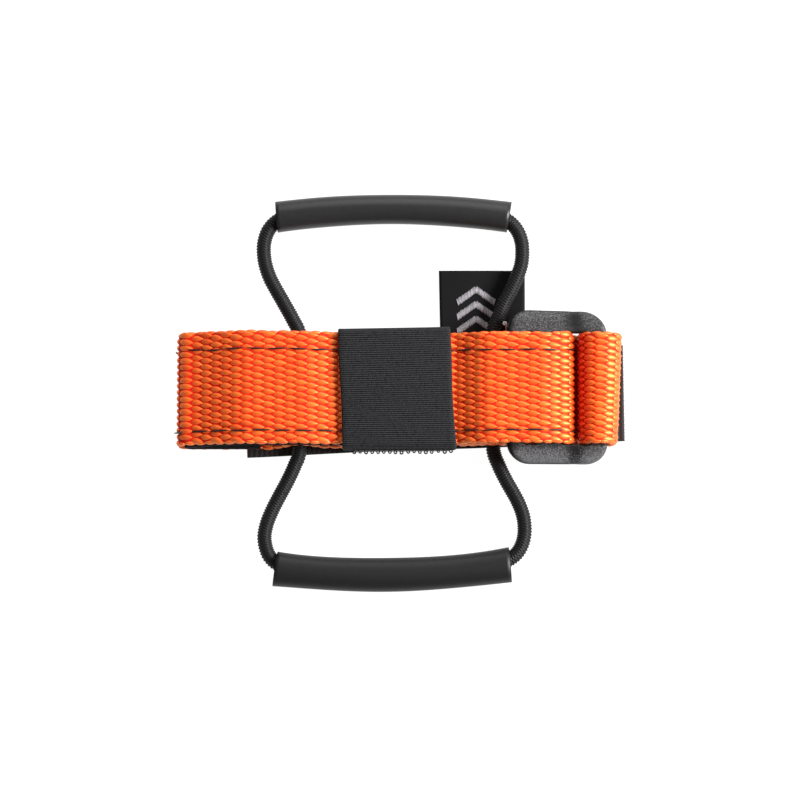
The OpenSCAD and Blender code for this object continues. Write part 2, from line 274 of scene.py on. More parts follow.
# ---- Webbing -----------------------------------------------------------------------------
# One length of 25.4 mm nylon webbing: sewn round the buckle's right bar, folded back at the
# left, run over the buckle and tucked under itself. A thin ground ribbon carries the floats
# of the weave, which are small lens-shaped bundles of yarn laid in staggered columns.
web_middle = 0.1
web_half_w = 12.3
ground_half_t = 0.62
low_z = 2.4
end_z = 4.4
tail_z = 6.4
band_low_z = 3.5
band_tail_z = 5.5
band_top_z = 9.1
fold_r = 1.95
buckle_top_z = 12.6
bump_r = 2.6
bump_z = 6.698
arch_r = 4.15
arch_z = 12.05
sewn_loop_way = [
    (29, end_z, 0), (41.6, end_z, 1.9), (41.6, arch_z, arch_r), (49.9, arch_z, arch_r), (49.9, low_z, 2.1),
]
lower_run_way = [
    (27.5, low_z, 3), (21.5, bump_z, bump_r), (16, band_low_z, 3), (-17.2, band_low_z, 3),
    (-23.2, bump_z, bump_r), (-29.2, low_z, 3),
]
left_fold_way = [(-50.4, low_z, fold_r), (-50.4, low_z + 2 * fold_r, fold_r)]
upper_left_way = [(-47, low_z + 2 * fold_r, 6), (-36.5, 10.3, 12), (-22.2, 10.45, 8), (-15.2, band_top_z, 4)]
upper_right_way = [(13.2, band_top_z, 4), (19.5, buckle_top_z, 7), (32.5, buckle_top_z, 5)]
tail_way = [
    (38, 10.6, 2.2), (40.1, tail_z, 1.7), (28.5, tail_z, 4), (20.2, 8.6, 4), (14.2, band_tail_z, 4),
    (-16.5, band_tail_z, 0),
]
webbing_way = sewn_loop_way + lower_run_way + left_fold_way + upper_left_way + upper_right_way + tail_way
loop_tape_way = [(-32, low_z, 0)] + left_fold_way + upper_left_way + [(12, band_top_z, 0)]
hook_tape_way = [(12, band_tail_z, 0), (-16.5, band_tail_z, 0)]


def middle_line(way, step=0.35):
    """Line [x, z] in mm through corners (x, z, radius) with round fillets, at even steps, a little eased."""
    corners = [np.array(c[:2], float) for c in way]
    points = [corners[0]]
    for before, at, after, (_, _, radius) in zip(corners, corners[1:], corners[2:], way[1:]):
        u = (before - at) / np.linalg.norm(before - at)
        v = (after - at) / np.linalg.norm(after - at)
        half = math.acos(float(u @ v)) / 2
        centre = at + (u + v) / np.linalg.norm(u + v) * radius / math.sin(half)
        arm = at + u * radius / math.tan(half) - centre
        turn = (math.pi - 2 * half) * (-1 if u[0] * v[1] - u[1] * v[0] > 0 else 1)
        for t in np.linspace(0, turn, 16):
            points.append(centre + np.array([[math.cos(t), -math.sin(t)], [math.sin(t), math.cos(t)]]) @ arm)
    points = np.vstack(points + [corners[-1]])
    along = lengths_along(points)
    s = np.linspace(0, along[-1], int(along[-1] / step) + 1)
    even = np.column_stack([np.interp(s, along, points[:, k]) for k in (0, 1)])
    eased = even.copy()
    eased[2:-2] = sum(w * even[k : len(even) - 4 + k] for k, w in enumerate((0.1, 0.2, 0.4, 0.2, 0.1)))
    return eased


def leaned(points):
    """Points in mm, eased as cloth lies: the loop on the buckle's right bar leans, the left fold spreads
    toward the label's side, the lower run slips a little the other way, and one edge rises at the slot."""
    t = np.clip((points[:, 0] - 42) / 8, 0, 1)
    points[:, 0] += 0.046 * (points[:, 1] - 11) * t * t * (3 - 2 * t)
    spread = np.clip((10 - points[:, 0]) / 50, 0, 1)
    points[:, 1] += (0.012 + 0.022 * spread) * (points[:, 1] + 12.6)
    under = np.clip((6.3 - points[:, 2]) / 3.9, 0, 1) * np.clip((16 - points[:, 0]) / 30, 0, 1)
    points[:, 1] -= 0.75 * under
    over_slot = np.exp(-(((points[:, 0] - 39.2) / 2.4) ** 2)) * np.clip((points[:, 2] - 8.5) / 1.5, 0, 1)
    points[:, 1] += 0.45 * over_slot * np.clip((points[:, 1] - 7) / 5, 0, 1)
    return points


def frame_along(line, s):
    """Points, tangents and outer normals of a middle line at distances s from its start."""
    along = lengths_along(line)
    here = np.column_stack([np.interp(s, along, line[:, k]) for k in (0, 1)])
    ahead = np.column_stack([np.interp(s + 0.3, along, line[:, k]) for k in (0, 1)])
    behind = np.column_stack([np.interp(s - 0.3, along, line[:, k]) for k in (0, 1)])
    tangent = (ahead - behind) / np.linalg.norm(ahead - behind, axis=1)[:, None]
    return here, tangent, np.column_stack([-tangent[:, 1], tangent[:, 0]])


def swept(name, line, profile, finish):
    """A closed ribbon: a profile of [y, height] points carried along a middle line [x, z], all in mm."""
    s = lengths_along(line)
    here, _, normal = frame_along(line, s)
    profile = np.array(profile, float)
    n, m = len(line), len(profile)
    points = np.zeros((n, m, 3))
    points[:, :, 0] = here[:, 0:1] + normal[:, 0:1] * profile[:, 1]
    points[:, :, 2] = here[:, 1:2] + normal[:, 1:2] * profile[:, 1]
    points[:, :, 1] = profile[:, 0]
    uv = np.stack([np.repeat(s[:, None], m, 1), np.repeat(profile[None, :, 0], n, 0)], axis=2)
    return mesh_piece(name, leaned(points.reshape(-1, 3)) * MM, capped_skin(n, m), finish,
                      uv.reshape(-1, 2) / 10)


def lens(name, length, width, height, rings, sides, finish, point=0.0):
    """A closed bundle of yarn in metres along X, pointed at its +X end, with its UV along and across it."""
    along = -np.cos(np.linspace(0, math.pi, rings + 2))[1:-1]
    angle = np.linspace(0, math.tau, sides, endpoint=False)
    wide = width / 2 * (1 - along**2) ** (0.55 + point * (along > 0)) * (1 - point * along)
    high = height / 2 * (1 - along**2) ** 0.5
    x = np.repeat(along[:, None] * length / 2, sides, 1)
    points = np.stack([x, wide[:, None] * np.cos(angle), high[:, None] * np.sin(angle)], axis=2)
    points = np.vstack([points.reshape(-1, 3), [[-length / 2, 0, 0], [length / 2, 0, 0]]])
    last, end = (rings - 1) * sides, rings * sides
    faces = skin(rings, sides)
    faces += [[end, (i + 1) % sides, i] for i in range(sides)]
    faces += [[end + 1, last + i, last + (i + 1) % sides] for i in range(sides)]
    uv = np.column_stack([points[:, 0] / length + 0.5, points[:, 1] / width + 0.5])
    return mesh_piece(name, points, faces, finish, uv)


def new_socket(tree, name, kind, direction="INPUT"):
    """A named socket on the outside of a geometry tree."""
    return tree.interface.new_socket(name, in_out=direction, socket_type=kind)


copies = bpy.data.node_groups.new("copies_at_points", "GeometryNodeTree")
new_socket(copies, "Points", "NodeSocketGeometry")
shape_socket = new_socket(copies, "Shape", "NodeSocketObject").identifier
finish_socket = new_socket(copies, "Finish", "NodeSocketMaterial").identifier
new_socket(copies, "Copies", "NodeSocketGeometry", "OUTPUT")
given = add(copies, "NodeGroupInput")
turn = add(copies, "GeometryNodeInputNamedAttribute", {"Name": "turn"}, data_type="FLOAT_VECTOR")
size = add(copies, "GeometryNodeInputNamedAttribute", {"Name": "size"}, data_type="FLOAT_VECTOR")
model = add(copies, "GeometryNodeObjectInfo", {"Object": given.outputs["Shape"], "As Instance": True})
placed = add(copies, "GeometryNodeInstanceOnPoints", {
    "Points": given.outputs["Points"], "Instance": model.outputs["Geometry"],
    "Rotation": turn.outputs["Attribute"], "Scale": size.outputs["Attribute"],
})
solid = add(copies, "GeometryNodeRealizeInstances", {"Geometry": placed.outputs["Instances"]})
finished = add(copies, "GeometryNodeSetMaterial",
               {"Geometry": solid.outputs["Geometry"], "Material": given.outputs["Finish"]})
add(copies, "NodeGroupOutput", {"Copies": finished.outputs["Geometry"]})


def copied(name, shape, points, turns, sizes, tones, finish):
    """One plain mesh with a copy of a shape at each point (metres), with its Euler turn, size and tone."""
    cloud = bpy.data.meshes.new(name + "_points")
    cloud.from_pydata([tuple(p) for p in points], [], [])
    for key, kind, field, values in (
        ("turn", "FLOAT_VECTOR", "vector", turns), ("size", "FLOAT_VECTOR", "vector", sizes),
        ("tone", "FLOAT", "value", tones),
    ):
        layer = cloud.attributes.new(key, kind, "POINT")
        layer.data.foreach_set(field, np.ravel(values).astype(np.float32))
    made = bpy.data.objects.new(name, cloud)
    bpy.context.scene.collection.objects.link(made)
    modifier = made.modifiers.new("copies", "NODES")
    modifier.node_group = copies
    modifier[shape_socket] = shape
    modifier[finish_socket] = finish
    seen = bpy.context.evaluated_depsgraph_get()
    plain = bpy.data.meshes.new_from_object(made.evaluated_get(seen), depsgraph=seen)
    made.modifiers.clear()
    made.data = plain
    for spare in ("turn", "size"):
        if spare in plain.attributes:
            plain.attributes.remove(plain.attributes[spare])
    bpy.data.meshes.remove(cloud)
    return made


def drop(*shapes):
    """Removes the single shapes that copies were made from."""
    for shape in shapes:
        bpy.data.objects.remove(shape)


def turns_of(tangent):
    """Euler angles that lay a shape's X along a tangent in the XZ plane, with its Z on the outer side."""
    flipped = np.where(tangent[:, 0] < 0, math.pi, 0.0)
    return np.column_stack([flipped, -np.arcsin(np.clip(tangent[:, 1], -1, 1)), flipped])


# Solution-dyed nylon: bright orange filaments with a warm satin gloss, streaked along each float. Points with
# a tone below zero lie deep in the buckle's slot, where their colour is mixed toward a deep red as painted
# shade.
nylon, tree, shader = new_finish("orange_nylon_webbing", Roughness=0.45, IOR=1.85, Specular_IOR_Level=1.0)
shader.inputs["Specular Tint"].default_value = linear("#FFD080")
where = add(tree, "ShaderNodeAttribute", attribute_name="surface")
tone = add(tree, "ShaderNodeAttribute", attribute_name="tone")
stretched = add(tree, "ShaderNodeMapping", {"Vector": where.outputs["Vector"], "Scale": (1.6, 24.0, 1.0)})
filaments = add(tree, "ShaderNodeTexNoise",
                {"Vector": stretched.outputs["Vector"], "Scale": 1.0, "Detail": 3.0})
streaks = add(tree, "ShaderNodeMath", {0: tone.outputs["Fac"], 1: filaments.outputs["Fac"]}, operation="ADD")
shade = add(tree, "ShaderNodeMapRange", {"Value": streaks.outputs[0], "From Min": 0.3, "From Max": 1.5})
orange = add(tree, "ShaderNodeMix", {0: shade.outputs[0], 6: linear("#EA400C"), 7: linear("#F66220")},
             data_type="RGBA")
# Painted shade: tones below zero turn the colour toward the slot's deep red.
depth = add(tree, "ShaderNodeMapRange", {"Value": tone.outputs["Fac"], "From Min": 0.0, "From Max": -1.0})
colour = add(tree, "ShaderNodeMix", {0: depth.outputs[0], 6: orange.outputs[2], 7: linear("#D01606")},
             data_type="RGBA")
tree.links.new(colour.outputs[2], shader.inputs["Base Color"])
ridges = add(tree, "ShaderNodeBump",
             {"Height": filaments.outputs["Fac"], "Strength": 0.35, "Distance": 0.06 * MM})
tree.links.new(ridges.outputs["Normal"], shader.inputs["Normal"])

# The ground of the weave, deep between the floats: the same nylon, matt, in a darker red that is painted
# shade for its depth between them.
ground, _, _ = new_finish("orange_nylon_ground", Base_Color=linear("#C01C06"), Roughness=0.7,
                          Specular_IOR_Level=0.2)

webbing_line = middle_line(webbing_way)
webbing_lengths = lengths_along(webbing_line)
edge_round = [(1.0, 0.0), (0.92, 0.62), (0.7, 0.92), (0.3, 1.0)]


def flat_profile(y_low, y_high, low, high, edge=0.5):
    """Outline of a flat ribbon with rounded edges, as [y, height] points."""
    mid, half = (low + high) / 2, (high - low) / 2
    right = [(y_high - edge + edge * u, mid + half * v) for u, v in edge_round]
    left = [(y_low + edge - edge * u, mid + half * v) for u, v in reversed(edge_round)]
    under = [(y, 2 * mid - z) for y, z in reversed(right + left)]
    return right + left + under[1:-1]


ground_profile = flat_profile(web_middle - web_half_w, web_middle + web_half_w, -ground_half_t, ground_half_t)
core = swept("webbing_ground", webbing_line[::2], ground_profile, ground)
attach(core, "strap")

column_pitch = 2.45
row_pitch = 1.42
row_count = 17
float_out = 0.47
stitch_rows = (8.55, -9.6)
stitch_pull = 0.16
float_tilt = math.radians(8)
float_yaw = -0.1
rng = np.random.default_rng(7)


def float_places(start, end, side):
    """Middles (mm), tangents and edge flags of the floats on one face, column by column."""
    places = []
    columns = np.arange(start, end, column_pitch)
    here, tangent, normal = frame_along(webbing_line, columns)
    for c in range(len(columns)):
        stagger = row_pitch / 4 * (1 if c % 2 else -1)
        for y in (np.arange(row_count) - row_count // 2) * row_pitch + stagger:
            near_stitch = max(0.0, 1 - min(abs(y + web_middle - r) for r in stitch_rows) / 0.9)
            out = side * (float_out - stitch_pull * near_stitch + rng.normal(0, 0.012))
            places.append((here[c, 0] + normal[c, 0] * out, y + web_middle + rng.normal(0, 0.03),
                           here[c, 1] + normal[c, 1] * out, tangent[c, 0], tangent[c, 1]))
    return np.array(places)


def floats(name, start, end, side, shape):
    """The floats of the weave on one face, between two distances along the webbing, as one piece."""
    places = float_places(start, end, side)
    n = len(places)
    sizes = 1 + rng.normal(0, 0.03, (n, 3))
    turns = turns_of(places[:, 3:])
    turns[:, 1] -= float_tilt
    turns[:, 2] += rng.normal(float_yaw, 0.03, n)
    made = copied(name, shape, leaned(places[:, :3].copy()) * MM, turns, sizes, rng.random(n), nylon)
    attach(made, "strap")
    return made


def paint_slot_shade(made, full_x, no_x):
    """Paints shade into the buckle's slot: takes the tone of a piece's points below zero there, fully up to
    one x (mm), and less and less up to another."""
    mesh = made.data
    x = np.array([v.co.x for v in mesh.vertices]) / MM
    tones = np.zeros(len(x))
    mesh.attributes["tone"].data.foreach_get("value", tones)
    part = np.clip((no_x - x) / (no_x - full_x), 0, 1)
    mesh.attributes["tone"].data.foreach_set("value", ((1 - part) * tones - part).astype(np.float32))


# The floats: fine ones where the weave is seen, plain ones inside the roll, and the edge's own.
fine_float = lens("fine_float", 3.3 * MM, 1.45 * MM, 1.05 * MM, 10, 10, nylon, 0.3)
plain_float = lens("plain_float", 3.1 * MM, 1.45 * MM, 0.9 * MM, 4, 6, nylon, 0.2)
edge_float = lens("edge_float", 2.9 * MM, 1.05 * MM, 1.6 * MM, 9, 10, nylon)

at_x = webbing_line[:, 0]
total = webbing_lengths[-1]
fold_at = webbing_lengths[np.argmin(at_x)]
dive_at = webbing_lengths[np.argmax(np.where(webbing_lengths > fold_at, at_x, -1e9))]
arch_top = webbing_lengths[np.argmax(np.where(webbing_lengths < fold_at, webbing_line[:, 1], -1e9))]
upper_floats = floats("upper_run_weave", fold_at - 5, dive_at + 5, 1, fine_float)
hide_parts("strap_webbing")
arch_floats = floats("buckle_loop_weave", arch_top - 12, arch_top + 16, 1, fine_float)
# The buckle loop's left flank, down in the slot, gets painted shade.
paint_slot_shade(arch_floats, 42.2, 43.4)
floats("sewn_end_weave", 1.5, arch_top - 13, 1, plain_float)
floats("lower_run_weave", arch_top + 17.5, fold_at - 6.5, 1, plain_float)
floats("tail_weave", dive_at + 6.5, total - 1.5, 1, plain_float)
floats("sewn_loop_inner_weave", 1.5, arch_top + 20, -1, plain_float)
floats("lower_run_inner_weave", arch_top + 21, fold_at - 20, -1, plain_float)

columns = np.arange(1.2, total - 1.0, column_pitch)
here, tangent, _ = frame_along(webbing_line, columns)
edge_middle = web_half_w - 0.15
edge_points = np.vstack([
    np.column_stack([here[:, 0], np.full(len(here), web_middle + y), here[:, 1]])
    for y in (edge_middle, -edge_middle)
])
edge_points[:, 1] += rng.normal(0, 0.05, len(edge_points))
n = len(edge_points)
edge_turns = np.vstack([turns_of(tangent)] * 2)
selvedge = copied("webbing_selvedges", edge_float, leaned(edge_points) * MM, edge_turns,
                  1 + rng.normal(0, 0.04, (n, 3)), rng.random(n), nylon)
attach(selvedge, "strap")
drop(fine_float, plain_float, edge_float)


# ---- Edge stitching ----------------------------------------------------------------------
# Two rows of dark bonded thread that sew the loop tape to the webbing. The stitches are short
# rounded lengths of thread, pulled down into the weave.
stitch_pitch = 4.85
stitch_length = 4.4
stitch_out = 0.96
stitches_start = fold_at - 1.5
stitches_end = dive_at - 0.5

# Bonded polyester, dyed dark red-brown: twisted smooth, with a dull gloss.
thread, _, _ = new_finish("bonded_polyester_thread", Base_Color=linear("#1C0706"), Roughness=0.5)
stitch = lens("stitch", stitch_length * MM, 0.42 * MM, 0.52 * MM, 7, 8, thread)
for row_name, y, first in (("upper", stitch_rows[0], 1.2), ("lower", stitch_rows[1], 2.4)):
    stitches = np.arange(stitches_start + first, stitches_end, stitch_pitch)
    here, tangent, normal = frame_along(webbing_line, stitches)
    n = len(here)
    out = here + normal * stitch_out
    points = np.column_stack([out[:, 0], np.full(n, y) + rng.normal(0, 0.06, n), out[:, 1]])
    turns = turns_of(tangent)
    turns[:, 2] += rng.normal(0, 0.03, n)
    row = copied(f"{row_name}_edge_thread", stitch, leaned(points) * MM, turns,
                 1 + rng.normal(0, 0.05, (n, 3)), rng.random(n), thread)
    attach(row, "strap")
    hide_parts(f"{row_name}_edge_stitching")
drop(stitch)

# The hidden seams of the same thread keep the CAD's shapes.
for node in ("anchor_stitching", "bar_tacks", "keeper_seam"):
    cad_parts[node].material_slots[0].material = thread

# ---- Loop tape and hook tape --------------------------------------------------------------
# Black tapes sewn to the webbing's inner face: loop tape on the run that lies on top, and
# hook tape on the tail under it. The loop tape's lower edge stands out past the webbing.
tape_low, tape_high = -1.72, -0.88

# Nylon, brushed to a dull black pile that takes up the light, in tufts of 0.4 mm.
tape_cloth, tree, shader = new_finish("brushed_nylon_tape", Roughness=0.85, Specular_IOR_Level=0.2)
where = add(tree, "ShaderNodeTexCoord")
pile = add(tree, "ShaderNodeTexNoise", {"Vector": where.outputs["Object"], "Scale": 2600.0, "Detail": 4.0})
patterned(tree, shader, pile.outputs["Fac"], "#0C0B0C", "#2A292B", pile.outputs["Fac"], 0.8, 0.2 * MM)
for name, way, y_low, y_high, node in (
    ("loop_tape_cloth", loop_tape_way, -12.75, 11.8, "loop_tape"),
    ("tail_hook_tape_cloth", hook_tape_way, -11.6, 11.8, "tail_hook_tape"),
):
    tape_profile = flat_profile(y_low, y_high, tape_low, tape_high, 0.3)
    tape = swept(name, middle_line(way, 0.6), tape_profile, tape_cloth)
    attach(tape, "strap")
    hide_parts(node)

# ---- Hook panel ---------------------------------------------------------------------------
# A piece of black hook tape under the roll, turned a little from the webbing. Its woven back
# faces up, and its moulded nylon hooks stand below it and show at its right end.
panel_centre = (8.0, -1.85)
panel_turn = math.radians(2.4)
panel_size = (87.5, 22.5)
panel_low, panel_edge, panel_high = 0.62, 1.1, 1.28

# The tape's woven nylon back: black with a brown cast, in soft ribs 1.2 mm apart.
backing, tree, shader = new_finish("hook_tape_backing", Roughness=0.6, Specular_IOR_Level=0.35)
where = add(tree, "ShaderNodeTexCoord")
weave = add(tree, "ShaderNodeTexWave", {"Vector": where.outputs["Object"], "Scale": 260.0, "Distortion": 1.2},
            bands_direction="X")
patterned(tree, shader, weave.outputs["Fac"], "#0E0C0C", "#262020", weave.outputs["Fac"], 0.5, 0.12 * MM)


def panel_place(points):
    """Points of the panel in its own frame (mm), turned and moved to their place (metres)."""
    turned = Matrix.Rotation(panel_turn, 3, "Z")
    placed = np.array(points, float)
    placed[:, 0] += 0.029 * placed[:, 1] * np.clip(placed[:, 0] / 43, 0, 1)
    placed = placed @ np.array(turned).T
    return (placed + (*panel_centre, 0.0)) * MM


half_l, half_w = panel_size[0] / 2, panel_size[1] / 2
steps = np.linspace(-half_l, half_l, 60)
profile = np.array([(-half_w, panel_low), (-half_w, panel_edge), (-half_w + 0.25, panel_high),
                    (half_w - 0.25, panel_high), (half_w, panel_edge), (half_w, panel_low)])
n, m = len(steps), len(profile)
points = np.zeros((n, m, 3))
points[:, :, 0] = steps[:, None]
points[:, :, 1] = profile[:, 0] + 0.12 * np.sin(steps[:, None] / 9) * np.sign(profile[:, 0])
points[:, :, 2] = profile[:, 1]
panel = mesh_piece("hook_panel_backing", panel_place(points.reshape(-1, 3)), capped_skin(n, m), backing,
                   smooth=False)
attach(panel, "strap")
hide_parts("hook_panel")


def bent_wire(name, line, radius, sides, finish):
    """A closed thin wire in metres along a line of 3-D points."""
    line = np.array(line, float)
    tangent = np.gradient(line, axis=0)
    tangent /= np.linalg.norm(tangent, axis=1)[:, None]
    side = np.cross(tangent, (0.0, 1.0, 0.0))
    side /= np.linalg.norm(side, axis=1)[:, None]
    up = np.cross(side, tangent)
    angle = np.linspace(0, math.tau, sides, endpoint=False)
    around = side[:, None] * np.cos(angle)[:, None] + up[:, None] * np.sin(angle)[:, None]
    points = line[:, None] + radius * around
    return mesh_piece(name, points.reshape(-1, 3), capped_skin(len(line), sides), finish)


# Moulded nylon hooks: black, hard and glossy.
hook_nylon, _, _ = new_finish("moulded_hook_nylon", Base_Color=linear("#1C1C1F"), Roughness=0.35)
hook_pitch = (1.45, 1.3)
hook_r = 0.16
arc = np.linspace(0, 1.35 * math.pi, 7)
hook_line = [(0, 0, 0)] + [(hook_r - hook_r * math.cos(a), 0, -0.38 - hook_r * math.sin(a)) for a in arc]
hook = bent_wire("hook", np.array(hook_line) * MM, 0.06 * MM, 3, hook_nylon)
grid_x, grid_y = np.meshgrid(np.arange(-half_l + 0.2, half_l, hook_pitch[0]),
                             np.arange(-half_w + 0.6, half_w - 0.3, hook_pitch[1]), indexing="ij")
grid_y = grid_y + (np.arange(len(grid_x))[:, None] % 2) * hook_pitch[1] / 2
end_y = np.arange(-half_w + 0.4, half_w - 0.3, 0.62)
hooks_at = np.column_stack([np.append(grid_x.ravel(), np.full(len(end_y), half_l - 0.05)),
                            np.append(grid_y.ravel(), end_y), np.full(grid_x.size + len(end_y), 0.66)])
n = len(hooks_at)
turns = np.zeros((n, 3))
turns[:, 2] = np.where(rng.random(n) < 0.5, 0, math.pi) + rng.normal(0, 0.3, n)
turns[-len(end_y):, 2] = rng.normal(0, 0.35, len(end_y))
hook_field = copied("hook_panel_hooks", hook, panel_place(hooks_at), turns, np.ones((n, 3)), rng.random(n),
                    hook_nylon)
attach(hook_field, "strap")
drop(hook)

# ---- Triglide buckle ----------------------------------------------------------------------
# Injection-moulded black acetal with two slots: soft round edges, slightly sunken faces and a
# fine spark texture. It is drawn flat, filled and bevelled, then remeshed and smoothed.
buckle_middle = (45.05, 0.6, 8.0)
buckle_tilt = math.radians(5.8)
buckle_left, buckle_right = -20.75, 2.3
buckle_half_l = 17.65
buckle_edge_r = 0.85
slot_low, slot_high = -13.05, 12.35
bar_edges = (-17.75, -13.45, -8.85, -1.85)
rail_start = 12.4
dip_x = -4.9
drawing = bpy.data.curves.new("buckle_outline", "CURVE")
drawing.dimensions = "2D"
drawing.fill_mode = "BOTH"
drawing.extrude = 0.45 * MM
drawing.bevel_depth = buckle_edge_r * MM
drawing.bevel_resolution = 3
drawing.offset = -buckle_edge_r * MM


def rounded_loop(x_low, x_high, y_low, y_high, radii):
    """Adds a closed rounded rectangle, in mm, to the buckle's drawing, with a radius for each corner."""
    corners = [(x_low, y_low, 180), (x_high, y_low, 270), (x_high, y_high, 0), (x_low, y_high, 90)]
    points = []
    for (x, y, start), r in zip(corners, radii):
        cx, cy = x + (r if x == x_low else -r), y + (r if y == y_low else -r)
        for a in np.radians(np.linspace(start, start + 90, 9)):
            points.append((cx + r * math.cos(a), cy + r * math.sin(a)))
    spline = drawing.splines.new("POLY")
    spline.points.add(len(points) - 1)
    for at, (x, y) in zip(spline.points, points):
        at.co = (x * MM, y * MM, 0, 1)
    spline.use_cyclic_u = True


rounded_loop(buckle_left, buckle_right, -buckle_half_l, buckle_half_l, (5.2, 4.6, 5.6, 5.2))
for bar_edge, next_edge in (bar_edges[:2], bar_edges[2:]):
    rounded_loop(bar_edge, next_edge, slot_low, slot_high, (1.4,) * 4)
drawn = bpy.data.objects.new("buckle_drawing", drawing)
bpy.context.scene.collection.objects.link(drawn)
seen = bpy.context.evaluated_depsgraph_get()
flat = bpy.data.meshes.new_from_object(drawn.evaluated_get(seen), depsgraph=seen)
drop(drawn)
bpy.data.curves.remove(drawing)
buckle = bpy.data.objects.new("triglide_moulding", flat)
bpy.context.scene.collection.objects.link(buckle)
remesh = buckle.modifiers.new("even_faces", "REMESH")
remesh.mode = "VOXEL"
remesh.voxel_size = 0.24 * MM
ease = buckle.modifiers.new("soft_edges", "SMOOTH")
ease.iterations = 7
ease.factor = 0.5
seen = bpy.context.evaluated_depsgraph_get()
moulded = bpy.data.meshes.new_from_object(buckle.evaluated_get(seen), depsgraph=seen)
buckle.modifiers.clear()
buckle.data = moulded

# The rails step up past the middle bar, bend down at their ends, and thin out to the left rim.
co = np.zeros(len(moulded.vertices) * 3)
moulded.vertices.foreach_get("co", co)
co = co.reshape(-1, 3) / MM
on_rail = np.clip((np.abs(co[:, 1]) - rail_start) / 1.5, 0, 1)
step_up = 0.5 * np.tanh((co[:, 0] - dip_x) / 1.3)
left_rim = np.clip((-18.2 - co[:, 0]) / 2.4, 0, 1) ** 2
sink = step_up * on_rail - 0.7 * left_rim
bend_down = 0.05 * np.abs(co[:, 1]) * on_rail * (np.abs(co[:, 1]) - rail_start) / 5
co[:, 2] += sink * np.sign(co[:, 2]) - bend_down
co[:, 1] -= 0.03 * np.clip(co[:, 1] - 12, 0, 9) * (co[:, 0] + 12) / 10
moulded.vertices.foreach_set("co", (co * MM).ravel())
moulded.transform(Matrix.Translation(Vector(buckle_middle) * MM) @ Matrix.Rotation(buckle_tilt, 4, "Y"))
moulded.polygons.foreach_set("use_smooth", [True] * len(moulded.polygons))

# Moulded acetal: black, greyed where its spark texture is fresh. The tone is how much of the grey is lost:
# painted shade at the dip, at the left rim and beside the webbing, and painted light at the rails' outer
# edges, most on the lower rail. The grit is drawn 0.3 mm wide, coarser than the real one, so that it shows.
outward = np.clip((np.abs(co[:, 1]) - 13.2) / 4, 0, 1)
painted_shade_and_light = 0.6 * np.exp(-(((co[:, 0] + 5.2) / 2.0) ** 2)) + 0.6 * left_rim + 0.3
painted_shade_and_light -= np.where(co[:, 1] > 0, 0.3, 0.85) * outward
moulded.attributes.new("tone", "FLOAT", "POINT").data.foreach_set("value", painted_shade_and_light.astype(np.float32))
acetal, tree, shader = new_finish("moulded_acetal", Specular_IOR_Level=0.4)
where = add(tree, "ShaderNodeTexCoord")
grit = add(tree, "ShaderNodeTexNoise", {"Vector": where.outputs["Object"], "Scale": 3000.0, "Detail": 2.0})
tone = add(tree, "ShaderNodeAttribute", attribute_name="tone")
speck = add(tree, "ShaderNodeMapRange", {"Value": grit.outputs["Fac"], "From Min": 0.36, "From Max": 0.7})
# The tone's painted shade and painted light take grey from the specks or give it back.
shaded_speck = add(tree, "ShaderNodeMath", {0: speck.outputs[0], 1: tone.outputs["Fac"]}, operation="SUBTRACT",
           use_clamp=True)
clouds = add(tree, "ShaderNodeTexNoise", {"Vector": where.outputs["Object"], "Scale": 260.0, "Detail": 2.0})
patterned(tree, shader, shaded_speck.outputs[0], "#141314", "#5B5A5C", grit.outputs["Fac"], 0.55, 0.1 * MM)
gloss = add(tree, "ShaderNodeMapRange", {"Value": clouds.outputs["Fac"], "To Min": 0.4, "To Max": 0.6})
tree.links.new(gloss.outputs[0], shader.inputs["Roughness"])
moulded.materials.clear()
moulded.materials.append(acetal)
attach(buckle, "buckle")
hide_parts("triglide_buckle")

# ---- Keeper -------------------------------------------------------------------------------
# A loop of 25 mm black woven elastic, stretched tight round the roll. Its ribs run along the
# strap, one every half millimetre, and its side edges are bound a little thicker.
keeper_place = (-0.8, 0.1)
keeper_turn = math.radians(1.5)
keeper_low, keeper_high = 1.5, 11.28
keeper_half_w = 12.8
keeper_half_l = 14.15
keeper_corner = 1.3
keeper_inset = 0.84
rib_pitch = 0.5
rib_count = 25

# Polyester yarn woven over rubber: matt, knotted in yarns of 0.25 x 0.45 mm, charcoal on the ribs and painted
# black in the grooves as shade.
elastic, tree, shader = new_finish("woven_elastic", Roughness=0.6, Specular_IOR_Level=0.2)
where = add(tree, "ShaderNodeAttribute", attribute_name="surface")
stretched = add(tree, "ShaderNodeMapping", {"Vector": where.outputs["Vector"], "Scale": (22.0, 40.0, 1.0)})
yarns = add(tree, "ShaderNodeTexVoronoi", {"Vector": stretched.outputs["Vector"], "Scale": 1.0})
across_ribs = add(tree, "ShaderNodeSeparateXYZ", {"Vector": where.outputs["Vector"]})
rib_phase = add(tree, "ShaderNodeMath", {0: across_ribs.outputs["X"], 1: math.tau * 10 / rib_pitch},
                operation="MULTIPLY")
# Painted shade: the grooves between the ribs are coloured darker.
painted_groove_shade = add(tree, "ShaderNodeMath", {0: rib_phase.outputs[0]}, operation="COSINE")
knots_and_groove_shade = add(tree, "ShaderNodeMath", {0: painted_groove_shade.outputs[0], 1: 0.6, 2: yarns.outputs["Distance"]},
            operation="MULTIPLY_ADD")
colour = add(tree, "ShaderNodeMix", {0: knots_and_groove_shade.outputs[0], 6: linear("#303032"), 7: linear("#030304")},
             data_type="RGBA")
tree.links.new(colour.outputs[2], shader.inputs["Base Color"])
nubs = add(tree, "ShaderNodeBump",
           {"Height": yarns.outputs["Distance"], "Strength": 0.4, "Distance": 0.08 * MM}, invert=True)
tree.links.new(nubs.outputs["Normal"], shader.inputs["Normal"])


